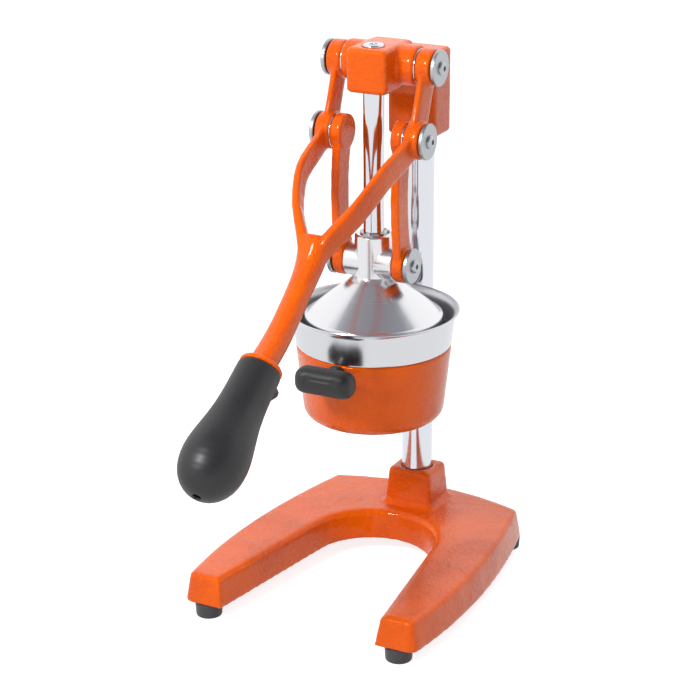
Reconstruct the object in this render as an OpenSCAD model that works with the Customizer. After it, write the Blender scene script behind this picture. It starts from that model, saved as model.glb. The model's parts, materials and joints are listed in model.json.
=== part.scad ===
// Lever citrus juice press: a cast fork lever pushes a press cup down onto a reamer.
// Sizes are millimetres. The origin lies on the table under the press axis,
// +X is the user's right, -Y faces the user and +Z is up.
// The pose is the pressed one: lever down, cup inside the juice bowl.

/* [Base] */
// Height of the rubber feet under the cast base
foot_h = 11; // [7:0.5:16]
// Radius of a rubber foot where it meets the base
foot_r = 10.7; // [8.5:0.1:12]
// Thickness of the cast base
base_t = 24; // [20:0.5:32]
// Reach of the two legs in front of the press axis
leg_reach = 127.5; // [110:0.5:150]
// Half width of the base at the leg ends, outside
leg_end_half = 95.5; // [92:0.5:105]
// Half width of the gap between the legs at the leg ends
gap_end_half = 69.5; // [60:0.5:72]
// Half width of the base at the middle of its bulged sides
bulge_half = 100.4; // [97:0.2:110]
// Half width of the base at its rear corners
rear_half = 83; // [78:0.5:92]
// Distance of the rear corners behind the press axis
rear_reach = 96; // [92:0.5:115]
// How far the rear edge bows out behind the rear corners
rear_bow = 16; // [12:0.5:24]
// Radius of the round end of the gap between the legs
gap_r = 52; // [44:0.5:56]
// Distance of that round end's centre in front of the press axis
gap_centre = 6; // [2:0.5:20]
// Outward taper of the base walls, top to bottom
base_draft = 4.2; // [1:0.1:6]
// Wall thickness of the base casting round its hollow underside
base_wall = 7; // [5:0.5:9]
// Thickness of the base deck above the hollow underside
base_deck = 10; // [6:0.5:14]
// Height of the column boss above the base
boss_h = 31; // [22:0.5:45]
// Half width of the column boss at its top
boss_half_x = 18.5; // [16.5:0.1:24]
// Half depth of the column boss at its top
boss_half_y = 16.2; // [15.5:0.1:20]

/* [Column and head] */
// Radius of the chromed column
column_r = 12.5; // [10:0.1:13.5]
// Distance of the column behind the press axis
column_y = 79.5; // [76:0.5:90]
// Half width of the head where the ram rod passes through
head_half_x = 16.5; // [14:0.1:17.5]
// Distance of the head's front face from the press axis
head_front = 13.8; // [12:0.1:20]
// Height of the front part of the head
head_h = 34; // [28:0.5:42]
// Half width of the head's column clamp
clamp_half_x = 20.4; // [17:0.1:26]
// Wall in front of and behind the column in the head's clamp
clamp_wall = 2.6; // [2.2:0.1:6]
// Height of the head's column clamp
clamp_h = 68; // [50:1:90]
// Drop of the clamp's top below the head's top
clamp_drop = 16; // [10:0.5:20]
// Radius of the head's two side bosses for the lever pivot
head_boss_r = 15.6; // [14:0.1:17]

/* [Linkage] */
// Distance of the lever pivot behind the press axis
pivot_y = 17.9; // [14:0.1:24]
// Length of the lever's crank, from lever pivot to link pivot
crank_len = 55.2; // [50:0.1:64]
// Lean of the crank in front of straight down, lever down
crank_angle = 20.7; // [14:0.1:26]
// Length of a push link between its two pivots
link_len = 99.4; // [90:0.2:115]
// Radius of a push link's eyes
link_eye_r = 14; // [12:0.1:14.4]
// Thickness of a push link's eyes
link_eye_t = 9; // [7:0.1:10]
// Thickness of a push link between its eyes
link_web_t = 6.6; // [5:0.1:7]
// Half depth of a push link at its middle
link_web_half = 9; // [6:0.1:11]
// Forward bow of a push link at its middle
link_bow = 6.4; // [0:0.1:9]
// Radius of the steel pivot pins
pin_r = 5; // [4.2:0.1:6]
// Radius of the zinc-plated cap on each pivot
cap_r = 13.8; // [11:0.1:14]
// Thickness of that cap
cap_t = 4.2; // [2.6:0.1:5]
// Height of the smaller step on the cap's inner face
cap_step = 0.9; // [0.4:0.1:1.4]
// Thickness of the spacing washers in the pivots
washer_t = 1.05; // [0.8:0.05:2]
// Radius of the pivot cap screws' thread
cap_screw_r = 3; // [2:0.1:3.4]
// Play between faces that turn on each other
face_gap = 0.15; // [0.1:0.05:0.3]
// Radial play of a turning or sliding fit
run_gap = 0.05; // [0.02:0.01:0.09]
// Radial play where parts are put together and stay
seat_gap = 0.05; // [0.02:0.01:0.1]

/* [Press cup and ram] */
// Radius of the ram rod
rod_r = 8; // [6:0.1:8.6]
// How far the ram rod stands above the head, lever down
rod_stand = 1.6; // [0.5:0.1:8]
// Outer radius of the press cup
cup_r = 54.1; // [50:0.1:55]
// Height of the press cup's straight skirt
skirt_h = 17; // [10:0.5:20]
// Height of the cup's cone, from its skirt to its hub
cone_h = 29.5; // [24:0.5:34]
// Wall thickness of the press cup
cup_wall = 4; // [3:0.1:5.5]
// Radius of the cup's hub round the ram rod
hub_r = 14.6; // [12.5:0.1:16]
// Height of the hub's top above the cup's shoulder
hub_h = 64; // [58:0.5:80]
// Height of the link pivots above the cup's shoulder
low_pivot_h = 41.4; // [39:0.2:48]
// Radius of the cross boss that carries the link pivots
cross_r = 13.4; // [11:0.1:14]
// Half length of that cross boss
cross_half = 20.6; // [18:0.1:24]

/* [Lever] */
// Thickness of the lever's eyes, along the pivots
eye_t = 12; // [10.6:0.1:14]
// Radius of the lever's eyes
eye_r = 14.2; // [12:0.1:14.6]
// Thickness of the fork's arms and cranks, along the pivots
strap_t = 6; // [4.5:0.1:8]
// Half depth of the cranks between their eyes
crank_half = 10.5; // [8:0.1:11]
// Half depth of the fork's arms
arm_half = 10; // [8:0.1:11]
// Angle of the lever's stem below level, lever down
stem_tilt = 38.3; // [30:0.1:45]
// Distance of the fork's crotch from the link pivot
crotch_s = 106; // [98:1:112]
// Half width of the fork just past its crotch
fork_half = 12; // [11:0.1:14]
// Half width of the stem
stem_half = 8.8; // [7:0.1:10]
// Half depth of the stem
stem_deep = 9.2; // [7.5:0.1:10]
// Distance of the collar from the link pivot
collar_s = 214.5; // [205:0.5:225]
// Rise of the fork arms above the line of the stem's foot
arm_hump = 16.2; // [10:0.1:20]
// Height of the stem above the link pivot's line
stem_rise = 3.4; // [2:0.1:7]

/* [Grip] */
// Height of the grip's axis above the link pivot's line, at the collar
grip_rise = 8.2; // [6:0.1:11]
// Angle by which the grip rises from the stem's line
grip_lift = 3.4; // [0:0.1:6]
// Radius of the collar that backs the grip
collar_r = 16.3; // [14.5:0.1:18]
// Thickness of that collar
collar_t = 4.5; // [3:0.1:8]
// Length of the grip
grip_len = 109.6; // [100:0.2:130]
// Radius of the grip's neck at the collar
grip_neck_r = 16.4; // [15:0.1:18]
// How much the neck thickens before the bulb
grip_neck_swell = 0.9; // [0:0.1:1.5]
// Radius of the grip's bulb
grip_bulb_r = 24.3; // [21:0.1:28]
// Distance of the bulb's widest place from the collar
grip_bulb_at = 78; // [70:0.5:84]
// Radius of the finger guard's round edge, under the grip's neck
guard_r = 4.2; // [2.5:0.1:5]
// How far that guard stands below the neck
guard_drop = 5; // [1:0.1:8]
// Half the distance between the guard's two side lobes
guard_half = 10; // [6:0.5:11]
// Distance of the guard's middle from the collar
guard_at = 8.5; // [6:0.5:14]
// Radius of the lever's tang inside the grip
tang_r = 8; // [6:0.1:9]
// Length of that tang
tang_len = 62; // [40:1:70]
// Radius of the small hole in the grip's end
grip_hole_r = 3.2; // [2.6:0.1:4]

/* [Bowls] */
// Height of the bowl holder's underside above the table
holder_z = 139.5; // [120:0.5:160]
// Height of the bowl holder
holder_h = 59.5; // [54:0.5:66]
// Outer radius of the bowl holder at its rim
holder_r = 60.5; // [58:0.1:62]
// How much narrower the holder is at its foot
holder_taper = 5.3; // [3:0.1:8]
// Radius of the holder's rounded bottom corner
holder_corner = 10; // [6:0.5:13]
// Wall thickness of the bowl holder
holder_wall = 4.5; // [3.5:0.1:5]
// Radius of the hole in the holder's bottom
holder_hole_r = 22; // [16:0.5:30]
// Radius of the holder's clamp round the column
collar_clamp_r = 19.5; // [17:0.1:22]
// Height of that clamp
collar_clamp_h = 44; // [30:1:50]
// Sheet thickness of the steel juice bowl
sheet = 1.2; // [0.8:0.1:1.6]
// Outer radius of the juice bowl's lip
lip_r = 66.9; // [65:0.1:70]
// Height of the juice bowl above the holder's rim
band_h = 27.2; // [22:0.2:32]
// Radius of the juice bowl just under its lip
band_r = 63; // [61.5:0.1:64.5]
// Outer radius of the juice spout
spout_r = 12; // [8:0.1:15]
// Length of the spout below the holder's underside
spout_drop = 9; // [4:0.5:14]
// Depth of the strainer below the holder's rim
strainer_drop = 23.5; // [18:0.5:28]
// Number of slots in the strainer
slot_count = 24; // [12:1:30]
// Width of a strainer slot
slot_w = 2.4; // [1.5:0.1:3]
// Radius of the reamer's cone at its foot
reamer_r = 35; // [30:0.5:38]
// Height of the reamer's cone above the strainer's underside
reamer_h = 56; // [48:0.5:60]
// Number of ribs on the reamer
rib_count = 12; // [8:1:16]
// Thickness of a rib
rib_t = 2.6; // [2:0.1:3.4]

/* [Front handle] */
// Half length of the black handle on the holder's front
handle_half = 24; // [18:0.2:30]
// Half height of that handle
handle_half_h = 10.2; // [8:0.1:12]
// Depth of that handle, from front to back
handle_depth = 19; // [16:0.5:22]
// How far the handle stands out from the holder
handle_out = 30.5; // [25:0.5:34]
// Depth of the handle's middle below the holder's rim
handle_drop = 6.4; // [6:0.1:16]

/* [Hidden] */

$fn = 64;
eps = 0.01;

ORANGE = [0.86, 0.30, 0.05];
CHROME = [0.86, 0.87, 0.89];
ZINC = [0.72, 0.74, 0.76];
STEEL = [0.80, 0.80, 0.82];
ALLOY = [0.84, 0.84, 0.86];
BLACK = [0.13, 0.13, 0.14];

// Heights of the stack, from the table up
base_top = foot_h + base_t;
boss_top = base_top + boss_h;
rim_z = holder_z + holder_h;
lip_z = rim_z + band_h;
shoulder_sink = 2.7;
shoulder_z = lip_z - shoulder_sink;
low_z = shoulder_z + low_pivot_h;
mid_y = pivot_y - crank_len * sin(crank_angle);
mid_z = low_z + sqrt(link_len * link_len - mid_y * mid_y);
pivot_z = mid_z + crank_len * cos(crank_angle);
head_crown = 0.4;
head_top = pivot_z + head_boss_r + head_crown;
clamp_top = head_top - clamp_drop;
clamp_half_y = column_r + clamp_wall;
clamp_roof = 9;
column_top = clamp_top - clamp_roof;
column_seat = foot_h + 8;

// Stack along the pivots, from the press axis outwards
link_in = cross_half + 0.2;
link_out = link_in + link_eye_t;
eye_in = link_out + face_gap + washer_t;
eye_out = eye_in + eye_t;
head_boss_x = eye_in - washer_t - face_gap;
high_cap_x = eye_out + face_gap;
low_cap_x = link_out + face_gap;

// Feet and their screws
foot_front = [leg_end_half - 13.5, 5.5 - leg_reach];
foot_rear = [rear_half - 7.7, rear_reach - 0.4];
foot_places = [
    [-foot_front[0], foot_front[1]], foot_front,
    [-foot_rear[0], foot_rear[1]], foot_rear
];
rib_step_x = 33;
rib_step_y = 38;
foot_screw_r = 2.5;
foot_screw_grip = 10;
foot_recess_r = 6;
foot_recess = 4;

// Depth of the two set screws at the column clamps
set_screw_r = 4;
set_screw_len = 8;

// ---------------------------------------------------------------- helpers

// Point on a quadratic curve through p and r, pulled towards q
function bend2(p, q, r, t) = (1 - t) * (1 - t) * p + 2 * t * (1 - t) * q + t * t * r;

// Point on a cubic curve from p to s, with handles q and r
function bend3(p, q, r, s, t) =
    pow(1 - t, 3) * p + 3 * t * pow(1 - t, 2) * q + 3 * t * t * (1 - t) * r + pow(t, 3) * s;

function steps(n, from = 0) = [for (i = [from:n]) i / n];
function reverse(list) = [for (i = [len(list) - 1:-1:0]) list[i]];
function mirrored(points) = [for (p = points) [-p[0], p[1]]];

function unit(v) = v / norm(v);

// Unit normal of the straight from a to b, to its left
function side_normal(a, b) = [a[1] - b[1], b[0] - a[0]] / norm(b - a);

// Unit normal of a path at point i, to the left of its direction
function path_normal(path, i) = side_normal(path[max(i - 1, 0)], path[min(i + 1, len(path) - 1)]);

// Point i of a path's parallel at the distance t to its left, with mitred corners
function mitred(path, i, t) =
    let (
        last = len(path) - 1,
        m = side_normal(path[max(i - 1, 0)], path[max(i, 1)]),
        n = side_normal(path[min(i, last - 1)], path[min(i + 1, last)])
    )
    path[i] + t * (m + n) / (1 + m * n);

// Closed outline of a sheet: the path and its parallel at the distance t
function thickened(path, t) = concat(path, reverse([for (i = [0:len(path) - 1]) mitred(path, i, t)]));

// Smooth curve through a list of points or sections, with m steps between each two
function smooth_through(p, m) = concat(
    [for (i = [0:len(p) - 2]) for (k = [0:m - 1])
        let (t = k / m, a = p[max(i - 1, 0)], b = p[i], c = p[i + 1], d = p[min(i + 2, len(p) - 1)])
        (2 * b + (c - a) * t + (2 * a - 5 * b + 4 * c - d) * t * t
            + (3 * b - a - 3 * c + d) * t * t * t) / 2],
    [p[len(p) - 1]]
);

// Extrudes a (y, z) outline along X, centred
module side_extrude(width) {
    rotate([90, 0, 90]) linear_extrude(height = width, center = true) children();
}

// Cylinder along X from x0 to x1
module x_rod(r, x0, x1) {
    translate([x0, 0, 0]) rotate([0, 90, 0]) cylinder(r = r, h = x1 - x0);
}

// Chamfered disc along X from x0 to x1
module x_disc(r, x0, x1, chamfer) {
    t = x1 - x0;
    translate([x0, 0, 0]) rotate([0, 90, 0]) rotate_extrude()
        polygon([
            [0, 0], [r - chamfer, 0], [r, chamfer],
            [r, t - chamfer], [r - chamfer, t], [0, t]
        ]);
}

// The same piece on both sides of the press
module both_sides() {
    children();
    mirror([1, 0, 0]) children();
}

module at_top_pivot() { translate([0, pivot_y, pivot_z]) children(); }
module at_mid_pivot() { translate([0, mid_y, mid_z]) children(); }
module at_low_pivot() { translate([0, 0, low_z]) children(); }

// Socket-headed button screw along X, its head's seat at x0
module button_screw(x0, thread_len) {
    head_r = cap_screw_r * 1.72;
    head_h = cap_screw_r * 0.95;
    difference() {
        union() {
            x_rod(cap_screw_r, x0 - thread_len, x0 + eps);
            translate([x0, 0, 0]) rotate([0, 90, 0]) rotate_extrude()
                polygon(concat(
                    [[0, 0], [head_r, 0]],
                    [for (t = steps(6))
                        [head_r * cos(70 * t), 0.6 + (head_h - 0.6) * sin(70 * t) / sin(70)]],
                    [[0, head_h]]
                ));
        }
        translate([x0 + head_h * 0.3, 0, 0]) rotate([0, 90, 0])
            cylinder(r = cap_screw_r * 0.72, h = head_h, $fn = 6);
    }
}

// Outline of a rectangle with rounded corners, given as its half sizes
function soft_rectangle(half_x, half_y, r) = [
    for (q = [[1, 1, 0], [-1, 1, 90], [-1, -1, 180], [1, -1, 270]])
        for (a = [0, 30, 60, 90]) [
            q[0] * (half_x - r) + r * cos(q[2] + a),
            q[1] * (half_y - r) + r * sin(q[2] + a)
        ]
];

// Rounded block: half sizes in plan, height, edge radius and how much wider it is at its foot
module soft_block(half_x, half_y, height, edge, taper = 0) {
    hull()
        for (level = [
            [0, 0.6 * edge], [0.7 * edge, 0], [height - edge, 0],
            [height - 0.3 * edge, 0.3 * edge], [height, edge]
        ]) {
            grow = taper * (1 - level[0] / height) - level[1];
            translate([0, 0, min(level[0], height - eps)]) linear_extrude(height = eps)
                polygon(soft_rectangle(half_x + grow, half_y + grow, edge));
        }
}

// ------------------------------------------------------------------- base

side_pull = [
    2 * bulge_half - (leg_end_half + rear_half) / 2,
    -24
];
base_side = [for (t = steps(12))
    bend2([leg_end_half, -leg_reach], side_pull, [rear_half, rear_reach], t)];
base_rear = [for (t = steps(8, 1))
    bend2([rear_half, rear_reach], [0, rear_reach + 2 * rear_bow], [-rear_half, rear_reach], t)];
base_outline = concat(base_side, base_rear, reverse(mirrored([for (i = [0:11]) base_side[i]])));

// Half outline of the gap between the legs, grown by g
function gap_outline(g) =
    let (
        slope = (gap_end_half - gap_r) / (leg_reach - gap_centre),
        far = leg_reach + 30,
        arc = [for (a = [-6:12:186]) [(gap_r + g) * cos(a), -gap_centre + (gap_r + g) * sin(a)]]
    )
    concat(
        [[gap_r + slope * (far - gap_centre) + g, -far]],
        arc,
        [[-(gap_r + slope * (far - gap_centre) + g), -far]]
    );

base_edge = 2.6;

module base_slice(grow) {
    linear_extrude(height = eps) offset(r = grow + 4, $fn = 24) offset(delta = -4) polygon(base_outline);
}

module base_shell() {
    edge_draft = base_draft * base_edge / base_t;
    hull() {
        translate([0, 0, foot_h]) base_slice(base_draft - 0.8);
        translate([0, 0, foot_h + 1]) base_slice(base_draft - 0.1);
        translate([0, 0, base_top - base_edge]) base_slice(edge_draft);
        translate([0, 0, base_top - base_edge * 0.3]) base_slice(-base_edge * 0.25);
        translate([0, 0, base_top - eps]) base_slice(-base_edge);
    }
}

module gap_cutter() {
    hull() {
        translate([0, 0, foot_h - 1]) linear_extrude(height = eps)
            polygon(gap_outline(-base_draft - base_draft / base_t));
        translate([0, 0, base_top - base_edge]) linear_extrude(height = eps)
            polygon(gap_outline(-base_draft * base_edge / base_t));
    }
    hull() {
        translate([0, 0, base_top - base_edge - eps]) linear_extrude(height = eps)
            polygon(gap_outline(-base_draft * base_edge / base_t));
        translate([0, 0, base_top - base_edge * 0.3]) linear_extrude(height = eps)
            polygon(gap_outline(base_edge * 0.25));
        translate([0, 0, base_top + eps]) linear_extrude(height = eps)
            polygon(gap_outline(base_edge));
    }
}

// Hollow underside: a wall all round, ribs, and posts at the feet and the column
module base_pockets() {
    rib = base_wall - 1;
    long = rear_reach + rear_bow;
    translate([0, 0, foot_h - 1]) linear_extrude(height = base_t - base_deck + 1)
        difference() {
            offset(delta = -base_wall) polygon(base_outline);
            polygon(gap_outline(base_wall));
            for (p = foot_places)
                translate(p) circle(r = foot_screw_r + 6);
            translate([0, column_y]) circle(r = column_r + 9);
            for (k = [-2:2])
                translate([k * rib_step_x, long / 2]) square([rib, long], center = true);
            for (k = [-2:1])
                translate([0, k * rib_step_y]) square([3 * bulge_half, rib], center = true);
        }
}

module base_boss() {
    skirt = 3;
    translate([0, column_y, base_top - eps])
        soft_block(boss_half_x, boss_half_y, boss_h + eps, 2.6, 2.4);
    translate([0, column_y, base_top - eps]) hull() {
        linear_extrude(height = eps)
            polygon(soft_rectangle(boss_half_x + 2.4 + skirt, boss_half_y + 2.4 + skirt, 5));
        translate([0, 0, skirt]) linear_extrude(height = eps)
            polygon(soft_rectangle(boss_half_x + 2.2, boss_half_y + 2.2, 3));
    }
}

module base() {
    color(ORANGE) difference() {
        union() {
            difference() {
                base_shell();
                gap_cutter();
                base_pockets();
            }
            base_boss();
        }
        translate([0, column_y, column_seat])
            cylinder(r = column_r + seat_gap, h = boss_top);
        translate([0, column_y, 0]) cylinder(r = bolt_r + 0.5, h = base_top);
        translate([0, column_y, 0]) cylinder(r = bolt_washer_r + 1, h = foot_h + bolt_recess);
        for (p = foot_places)
            translate([p[0], p[1], 0])
                cylinder(r = foot_screw_r + seat_gap, h = foot_h + foot_screw_grip + 0.5);
    }
}

// --------------------------------------------------------------- fixings

bolt_r = 5;
bolt_washer_r = 10;
bolt_washer_t = 2;
bolt_recess = 4;
bolt_reach = 30;

module rubber_feet() {
    color(BLACK) for (p = foot_places)
        translate([p[0], p[1], 0]) difference() {
            rotate_extrude() polygon([
                [0, 0], [foot_r - 1.4, 0], [foot_r - 0.6, 0.8],
                [foot_r, foot_h - 0.6], [foot_r - 0.6, foot_h], [0, foot_h]
            ]);
            translate([0, 0, -eps]) cylinder(r = foot_recess_r, h = foot_recess);
            cylinder(r = foot_screw_r + seat_gap, h = foot_h + 1);
        }
}

module foot_screws() {
    head_h = 2.4;
    color(ZINC) for (p = foot_places)
        translate([p[0], p[1], foot_recess - eps]) difference() {
            union() {
                cylinder(r = foot_screw_r, h = foot_h - foot_recess + foot_screw_grip);
                translate([0, 0, -head_h]) rotate_extrude()
                    polygon([[0, 0], [2.6, 0], [4.4, 1.2], [4.6, head_h], [0, head_h]]);
            }
            translate([0, 0, -head_h - eps]) cylinder(r = 1.5, h = 1.4, $fn = 6);
        }
}

module column() {
    color(CHROME) translate([0, column_y, column_seat]) difference() {
        rotate_extrude() polygon([
            [0, 0], [column_r - 1, 0], [column_r, 1],
            [column_r, column_top - column_seat - 1], [column_r - 1, column_top - column_seat],
            [0, column_top - column_seat]
        ]);
        translate([0, 0, -eps]) cylinder(r = bolt_r + seat_gap, h = bolt_reach);
    }
}

module column_washer() {
    color(ZINC) translate([0, column_y, foot_h + bolt_recess - bolt_washer_t]) difference() {
        cylinder(r = bolt_washer_r, h = bolt_washer_t);
        translate([0, 0, -1]) cylinder(r = bolt_r + seat_gap, h = bolt_washer_t + 2);
    }
}

module column_bolt() {
    head_h = 6.4;
    seat = foot_h + bolt_recess - bolt_washer_t;
    color(ZINC) translate([0, column_y, seat]) {
        translate([0, 0, -head_h]) cylinder(r = 8, h = head_h, $fn = 6);
        translate([0, 0, -eps]) cylinder(r = bolt_r, h = column_seat + bolt_reach - seat - 4 + eps);
    }
}

// Two set screws in a clamp's rear wall, at the heights z0 and z1
module set_screws(z0, z1, reach) {
    for (z = [z0, z1])
        translate([0, column_y, z]) rotate([-90, 0, 0]) difference() {
            translate([0, 0, column_r + seat_gap])
                cylinder(r = set_screw_r, h = reach - column_r - seat_gap);
            translate([0, 0, reach - 3]) cylinder(r = 2.2, h = 4, $fn = 6);
        }
}

module set_screw_bores(z0, z1) {
    for (z = [z0, z1])
        translate([0, column_y, z]) rotate([-90, 0, 0])
            cylinder(r = set_screw_r + seat_gap, h = 60);
}

// ------------------------------------------------------------------- head

clamp_z = clamp_top - clamp_h;
head_back = 35;
head_edge = 2.8;
head_screw_z = [clamp_z + 16, clamp_z + 50];

module head_front_block() {
    mid = (head_back - head_front) / 2;
    translate([0, mid, head_top - head_h])
        soft_block(head_half_x, (head_back + head_front) / 2, head_h, head_edge);
}

module head_clamp_block() {
    translate([0, column_y, clamp_z])
        soft_block(clamp_half_x, clamp_half_y, clamp_h, head_edge);
}

// Web from the front block back to the clamp, with its sloping top and a gusset below
module head_neck() {
    low = head_top - head_h;
    clamp_front = column_y - clamp_half_y;
    side_extrude(2 * (head_half_x - 1)) polygon([
        [head_back - 6, low + 0.6], [head_back - 6, head_top - 1], [head_back - 1, head_top - 1],
        [head_back + 9, clamp_top - 0.6], [clamp_front + 4, clamp_top - 0.6],
        [clamp_front + 4, low - 18], [clamp_front, low - 16],
        [clamp_front - 5, low - 6], [clamp_front - 14, low + 0.6]
    ]);
}

// Round side bosses that carry the lever pivot
module head_side_boss() {
    root = head_half_x - 5;
    translate([root, 0, 0]) rotate([0, 90, 0]) rotate_extrude() polygon([
        [0, 0], [head_boss_r, 0], [head_boss_r, head_boss_x - root - 1],
        [head_boss_r - 1, head_boss_x - root], [0, head_boss_x - root]
    ]);
}

module head() {
    color(ORANGE) difference() {
        union() {
            head_front_block();
            head_neck();
            head_clamp_block();
            at_top_pivot() both_sides() head_side_boss();
        }
        translate([0, 0, head_top - head_h - 30]) cylinder(r = rod_r + run_gap, h = head_h + 60);
        translate([0, column_y, clamp_z - 1])
            cylinder(r = column_r + seat_gap, h = column_top - clamp_z + 1);
        at_top_pivot() both_sides() x_rod(pin_r + seat_gap, top_pin_in, head_boss_x + 1);
        set_screw_bores(head_screw_z[0], head_screw_z[1]);
    }
}

module head_set_screws() {
    color(ZINC) set_screws(head_screw_z[0], head_screw_z[1], clamp_half_y + 0.6);
}

// ----------------------------------------------------------------- pivots

top_pin_in = rod_r + 4;
low_pin_in = rod_r + 2.4;
cap_screw_len = 14;

// Pin along X from x0 to x1, tapped at its outer end for the cap screw
module pivot_pin(x0, x1) {
    difference() {
        x_disc(pin_r, x0, x1, 0.4);
        x_rod(cap_screw_r + seat_gap, x1 - cap_screw_len, x1 + 1);
    }
}

// Plated disc with a smaller step on its inner face, which stands it off the eye
module pivot_cap(x0) {
    step_r = 0.65 * cap_r;
    difference() {
        translate([x0, 0, 0]) rotate([0, 90, 0]) rotate_extrude() polygon([
            [0, 0], [step_r, 0], [step_r, cap_step], [cap_r - 0.5, cap_step], [cap_r, cap_step + 0.5],
            [cap_r, cap_t - 0.5], [cap_r - 0.5, cap_t], [0, cap_t]
        ]);
        x_rod(cap_screw_r + seat_gap, x0 - 1, x0 + cap_t + 1);
    }
}

module pivot_washer(x0) {
    difference() {
        x_disc(cap_r - 0.4, x0, x0 + washer_t, 0.2);
        x_rod(pin_r + seat_gap, x0 - 1, x0 + washer_t + 1);
    }
}

module top_pivot_pins() { color(STEEL) at_top_pivot() both_sides() pivot_pin(top_pin_in, high_cap_x); }
module top_pivot_washers() { color(CHROME) at_top_pivot() both_sides() pivot_washer(head_boss_x); }
module top_pivot_caps() { color(ZINC) at_top_pivot() both_sides() pivot_cap(high_cap_x); }
module top_pivot_screws() {
    color(STEEL) at_top_pivot() both_sides() button_screw(high_cap_x + cap_t, cap_t + cap_screw_len - 1);
}

module mid_pivot_pins() {
    color(STEEL) at_mid_pivot() both_sides() pivot_pin(eye_in - washer_t, high_cap_x);
}

module mid_pivot_washers() { color(CHROME) at_mid_pivot() both_sides() pivot_washer(eye_in - washer_t); }
module mid_pivot_caps() { color(ZINC) at_mid_pivot() both_sides() pivot_cap(high_cap_x); }
module mid_pivot_screws() {
    color(STEEL) at_mid_pivot() both_sides() button_screw(high_cap_x + cap_t, cap_t + cap_screw_len - 1);
}

module low_pivot_pins() { color(STEEL) at_low_pivot() both_sides() pivot_pin(low_pin_in, low_cap_x); }
module low_pivot_caps() { color(ZINC) at_low_pivot() both_sides() pivot_cap(low_cap_x); }
module low_pivot_screws() {
    color(STEEL) at_low_pivot() both_sides() button_screw(low_cap_x + cap_t, cap_t + cap_screw_len - 1);
}

// ------------------------------------------------------------------ links

low_pin = [0, low_z];
high_pin = [mid_y, mid_z];
link_pull = (low_pin + high_pin) / 2 - [2 * link_bow, 0];
link_line = [for (t = steps(14)) bend2(low_pin, link_pull, high_pin, t)];

// Half depth of the link's web, which widens towards its eyes
function web_half(i) = link_web_half + 2.6 * pow(abs(i / 7 - 1), 4);

link_web = concat(
    [for (i = [0:14]) link_line[i] + web_half(i) * path_normal(link_line, i)],
    reverse([for (i = [0:14]) link_line[i] - web_half(i) * path_normal(link_line, i)])
);

module push_link() {
    mid_x = (link_in + link_out) / 2;
    difference() {
        union() {
            translate([mid_x, 0, 0]) side_extrude(link_web_t) polygon(link_web);
            at_low_pivot() x_disc(link_eye_r - 0.4, link_in, link_out, 1);
            at_mid_pivot() x_disc(link_eye_r, link_in, link_out, 1);
        }
        at_low_pivot() x_rod(pin_r + run_gap, link_in - 1, link_out + 1);
    }
}

module link_right() { color(ORANGE) push_link(); }
module link_left() { color(ORANGE) mirror([1, 0, 0]) push_link(); }

// -------------------------------------------------------------- press cup

cup_inner = cup_r - cup_wall;
skirt_z = shoulder_z - skirt_h;
cone_top = shoulder_z + cone_h;
cone_foot_r = cup_r - 3;
cone_head_r = hub_r + 5.4;
crown_z = cone_top - cup_wall - 3;

module press_cup() {
    color(ALLOY) difference() {
        union() {
            rotate_extrude($fn = 96) polygon([
                [0, skirt_z + 1], [cup_inner, skirt_z + 1], [cup_inner + 1.2, skirt_z],
                [cup_r - 0.8, skirt_z],
                [cup_r, skirt_z + 1], [cup_r, shoulder_z - 2], [cup_r - 0.7, shoulder_z - 0.6],
                [cup_r - 2, shoulder_z], [cone_foot_r, shoulder_z + 0.6],
                [cone_head_r, cone_top - 3.4], [hub_r + 1.6, cone_top - 0.9], [hub_r, cone_top + 1.4],
                [hub_r, shoulder_z + hub_h - 1.2], [hub_r - 1.2, shoulder_z + hub_h],
                [0, shoulder_z + hub_h]
            ]);
            at_low_pivot() both_sides() x_disc(cross_r, -1, cross_half, 0.8);
        }
        rotate_extrude($fn = 96) polygon([
            [0, skirt_z - 1], [cup_inner, skirt_z - 1], [cup_inner, shoulder_z - 3],
            [cone_foot_r - 5, shoulder_z - 0.6], [16, crown_z - 2], [10, crown_z], [0, crown_z]
        ]);
        translate([0, 0, rod_seat]) cylinder(r = rod_r + seat_gap, h = hub_h);
        at_low_pivot() both_sides() x_rod(pin_r + seat_gap, low_pin_in, cross_half + 1);
    }
}

rod_seat = cone_top - 1;
rod_top = head_top + rod_stand;

module ram_rod() {
    color(CHROME) difference() {
        translate([0, 0, rod_seat]) rotate_extrude() polygon([
            [0, 0], [rod_r, 0], [rod_r, rod_top - rod_seat - 0.8],
            [rod_r - 0.8, rod_top - rod_seat], [0, rod_top - rod_seat]
        ]);
        translate([0, 0, rod_top - 3]) cylinder(r = 3.4, h = 4, $fn = 6);
    }
}

module rod_clip() {
    clip_t = 1.2;
    clip_z = shoulder_z + hub_h;
    color(STEEL) translate([0, 0, clip_z]) difference() {
        union() {
            cylinder(r = rod_r + 2.6, h = clip_t);
            for (side = [-1, 1])
                rotate(50) translate([rod_r + 2.4, side * 2.6, 0]) cylinder(r = 2.1, h = clip_t);
        }
        translate([0, 0, -1]) cylinder(r = rod_r + seat_gap, h = clip_t + 2);
        for (side = [-1, 1])
            rotate(50) translate([rod_r + 2.6, side * 2.6, -1]) cylinder(r = 0.9, h = clip_t + 2);
        rotate(50) translate([0, -0.5, -1]) cube([20, 1, clip_t + 2]);
    }
}

// ------------------------------------------------------------------ lever

// The lever's own frame: origin at the link pivot, -Y along the stem, +Z above it
module in_lever() {
    at_mid_pivot() rotate([stem_tilt, 0, 0]) children();
}

// The grip's frame: origin on the collar's outer face, +Z along the grip
module in_grip() {
    in_lever() translate([0, -collar_s, grip_rise]) rotate([90 - grip_lift, 0, 0])
        translate([0, 0, collar_t]) children();
}

eye_mid = (eye_in + eye_out) / 2;

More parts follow.
